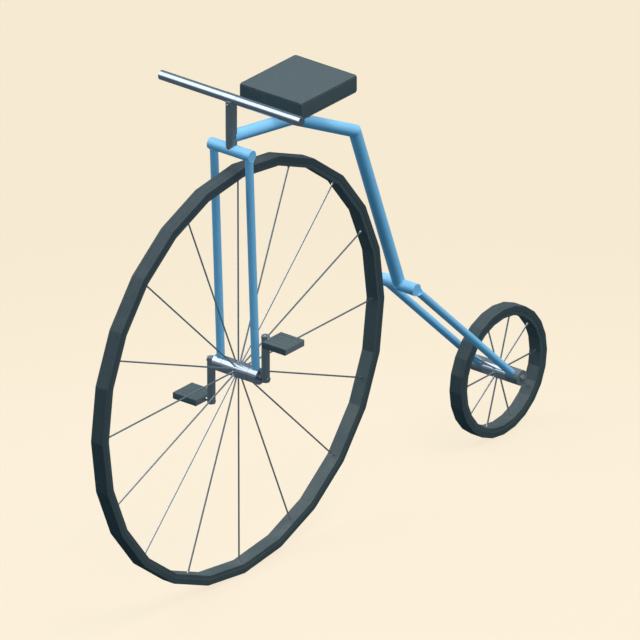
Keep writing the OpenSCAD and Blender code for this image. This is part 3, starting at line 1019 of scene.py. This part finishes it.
def extruded(profile, centre, start, end, chamfer):
    # an x-z profile carried along y from start to end, drawn in a little at both ends
    y = np.array([start, start + chamfer, end - chamfer, end])
    shrink = np.array([chamfer, 0, 0, chamfer])
    scale = 1 - shrink[:, None] / np.abs(profile).max(0)[None, :]
    points = np.stack([centre[0] + profile[None, :, 0] * scale[:, :1],
                       np.broadcast_to(y[:, None], (len(y), len(profile))),
                       centre[2] + profile[None, :, 1] * scale[:, 1:]], -1)
    return cappedTube(points, len(y), len(profile))


def makePedal(side, shape):
    # the ribbed block between its plates, then a plate and two domed rivets at each end
    low, high = nodeBox("pedal_" + side)
    centre, half = (low + high) / 2, (high - low) / 2
    body = side + "_pedal"
    rubber = barProfile(half[0], half[2], shape["edge"], shape)
    block = extruded(rubber, centre, low[1] + shape["plate"], high[1] - shape["plate"], shape["chamfer"])
    addPiece(side + "PedalRubber", *block, body, "pedal_rubber", ("pedal_" + side,), smoothAngle=30)
    inset, rise = shape["plateInset"], shape["rivetRise"]
    plate = barProfile(half[0] - inset, half[2] - inset, shape["edge"] * shape["plateEdge"])
    dome = [(shape["rivetRadius"], -shape["rivetSink"])]
    dome += [(shape["rivetRadius"] * math.cos(t), rise * shape["domeShare"] * math.sin(t))
             for t in np.linspace(0, shape["domeUpTo"], 5)]
    parts = []
    for end, outward in ((low[1], -1), (high[1], 1)):
        outside = end - outward * rise * shape["setIn"]
        inside = outside - outward * shape["plate"]
        near, far = sorted((outside, inside))
        parts.append(extruded(plate, centre, near, far, shape["plateChamfer"]))
        for across in shape["rivetPlaces"]:
            origin = np.array([centre[0] + across * half[0], outside, centre[2]])
            parts.append(turned(dome, origin, acrossAxis * outward, shape["rivetSides"]))
    addPiece(side + "PedalPlates", *joined(parts), body, "dark_steel", smoothAngle=35)


for side in ("left", "right"):
    makePedal(side, pedalShape)
print("pedals made")


# brazed joints: a thin bead where one tube runs into another

beadShape = {"radius": 1.9 * mm, "steps": 10, "around": 48, "tuck": 0.2 * mm}


def beadRing(place, axis, radius, otherPlace, otherAxis, otherRadius, shape, side):
    # points place + radius (cos t, sin t) + h axis, with h solved so that each lies on the other tube
    axis, first, second = sideVectors(axis)
    otherAxis = np.asarray(otherAxis, float) / np.linalg.norm(otherAxis)
    t = np.arange(shape["around"]) * 2 * math.pi / shape["around"]
    spoke = np.cos(t)[:, None] * first + np.sin(t)[:, None] * second
    fromOther = place + radius * spoke - otherPlace
    flat = fromOther - (fromOther @ otherAxis)[:, None] * otherAxis
    lean = axis - (axis @ otherAxis) * otherAxis
    a, b, c = lean @ lean, 2 * flat @ lean, (flat ** 2).sum(1) - otherRadius ** 2
    root = np.sqrt(np.maximum(b * b - 4 * a * c, 0))
    h = (-b + side * root) / (2 * a)
    path = place + radius * spoke + h[:, None] * axis
    return ringTube(path, shape["radius"], spoke, shape["steps"])


def longAxis(name):
    # direction in which the node's points spread furthest
    coords = coordsOf(nodes[name].data)
    return np.linalg.svd(coords - coords.mean(0), full_matrices=False)[2][0]


def makeBrazing(shape):
    # legs into the crown; backbone and stays into the cross tube
    crownRadius = halfSize("fork_crown")[2]
    legAxis = (crownMiddle - frontHub) * [1, 0, 1]
    parts = []
    for side in ("left", "right"):
        place = crownMiddle * [1, 0, 1] + acrossAxis * middle("fork_leg_" + side)[1]
        legRadius = halfSize("fork_leg_" + side)[1]
        parts.append(beadRing(place, legAxis, legRadius, crownMiddle, acrossAxis, crownRadius, shape, -1))
    addPiece("crownBrazing", *joined(parts), "fork", "blue_paint", smoothAngle=60)

    crossRadius = halfSize("cross_tube")[2]
    rearAxis = longAxis("backbone_rear")
    rearAxis = rearAxis * np.sign(rearAxis[2])
    backboneRadius = halfSize("backbone_rear")[1] - shape["tuck"]
    parts = [beadRing(crossMiddle, rearAxis, backboneRadius, crossMiddle, acrossAxis, crossRadius, shape, 1)]
    stayAxis = (rearHub - crossMiddle) * [1, 0, 1]
    for side in ("left", "right"):
        place = crossMiddle * [1, 0, 1] + acrossAxis * middle("stay_" + side)[1]
        stayRadius = halfSize("stay_" + side)[1]
        parts.append(beadRing(place, stayAxis, stayRadius, place, acrossAxis, crossRadius, shape, 1))
    addPiece("crossBrazing", *joined(parts), "frame", "blue_paint", smoothAngle=60)


makeBrazing(beadShape)
print("brazing made")


# nuts, caps and collars

# each row of a nut: shares of its apothem and height, and how hexagonal it is there
nutShape = {
    "steps": 36,
    "rows": [(1.0, 0.0, 1.0), (1.0, 0.72, 1.0), (0.99, 0.9, 0.35), (0.90, 1.0, 0.0), (0.45, 1.0, 0.0)],
}
capShape = {"steps": 20, "rows": 7, "upTo": 1.4}


def hexNut(origin, axis, apothem, height):
    # six flats: the radius at each angle is apothem / cos of the angle from the flat's middle
    profile = np.array(nutShape["rows"]) * [apothem, height, 1.0]
    return turned(profile, origin, axis, nutShape["steps"], sides=6)


def domeCap(origin, axis, radius, rise, sink=1.5 * mm):
    # a quarter of an ellipse turned about the axis, set a little into the part
    t = np.linspace(0, capShape["upTo"], capShape["rows"])
    profile = [(radius, -sink)] + [(radius * math.cos(x), rise * math.sin(x)) for x in t]
    return turned(profile, origin, axis, capShape["steps"])


def innerAndOuter(name, sign):
    # y of the node's face towards the wheel, and of its face away from it
    low, high = nodeBox(name)
    return (low[1], high[1]) if sign > 0 else (high[1], low[1])


axleNutShape = {"apothem": 10.5 * mm, "height": 6.0 * mm, "capRadius": 6.5 * mm, "capRise": 3.0 * mm}


def makeAxleNuts(shape):
    parts = []
    for side, sign in (("left", 1), ("right", -1)):
        outer = innerAndOuter("rear_fork_end_" + side, sign)[1]
        foot = rearHub * [1, 0, 1] + acrossAxis * outer
        top = foot + acrossAxis * sign * shape["height"]
        parts.append(hexNut(foot, acrossAxis * sign, shape["apothem"], shape["height"]))
        parts.append(domeCap(top, acrossAxis * sign, shape["capRadius"], shape["capRise"]))
    addPiece("rearAxleNuts", *joined(parts), "frame", "dark_steel", smoothAngle=30)


crankShape = {
    "capRadius": 7.0 * mm, "capRise": 2.0 * mm, "capSunk": 0.6 * mm, "tipRadius": 6.0 * mm, "tipRise": 3.2 * mm,
    # radius and height of the collar's rows, in millimetres
    "collar": [(8.2, 0.6), (11.5, 0.6), (12.0, 1.2), (12.0, 5.4), (11.5, 6.0), (8.2, 6.0)],
    "collarSides": 40,
}


def makeCrankFixings(shape):
    # on each crank: a cap over the axle, a collar inside it, and a cap on the end of its arm
    collar = np.array(shape["collar"]) * mm
    parts = []
    for side, sign in (("left", 1), ("right", -1)):
        inner, outer = innerAndOuter("crank_" + side, sign)
        axle = frontHub * [1, 0, 1]
        parts.append(domeCap(axle + acrossAxis * (outer - sign * shape["capSunk"]), acrossAxis * sign,
                             shape["capRadius"], shape["capRise"]))
        parts.append(turned(collar, axle + acrossAxis * inner, -acrossAxis * sign, shape["collarSides"]))
        tip = middle("crank_" + side) + upAxis * sign * halfSize("crank_" + side)[2]
        parts.append(domeCap(tip, upAxis * sign, shape["tipRadius"], shape["tipRise"]))
    addPiece("crankFixings", *joined(parts), "front_wheel", "bright_steel", smoothAngle=30)


stemBoltShape = {
    "belowTop": 9.0 * mm, "seat": 0.92,   # seat: share of the stem's radius where the bolt's head starts
    "apothem": 4.2 * mm, "height": 3.6 * mm, "capRadius": 2.4 * mm, "capRise": 1.4 * mm,
}


def makeStemBolt(shape):
    stemTop = nodeBox("stem")[1][2]
    forward = headMiddle[0] + halfSize("stem")[0] * shape["seat"]
    seat = np.array([forward, 0, stemTop - shape["belowTop"]])
    parts = [hexNut(seat, forwardAxis, shape["apothem"], shape["height"]),
             domeCap(seat + forwardAxis * shape["height"], forwardAxis, shape["capRadius"], shape["capRise"])]
    addPiece("stemBolt", *joined(parts), "fork", "bright_steel", smoothAngle=30)


makeAxleNuts(axleNutShape)
makeCrankFixings(crankShape)
makeStemBolt(stemBoltShape)
print("fixings made")
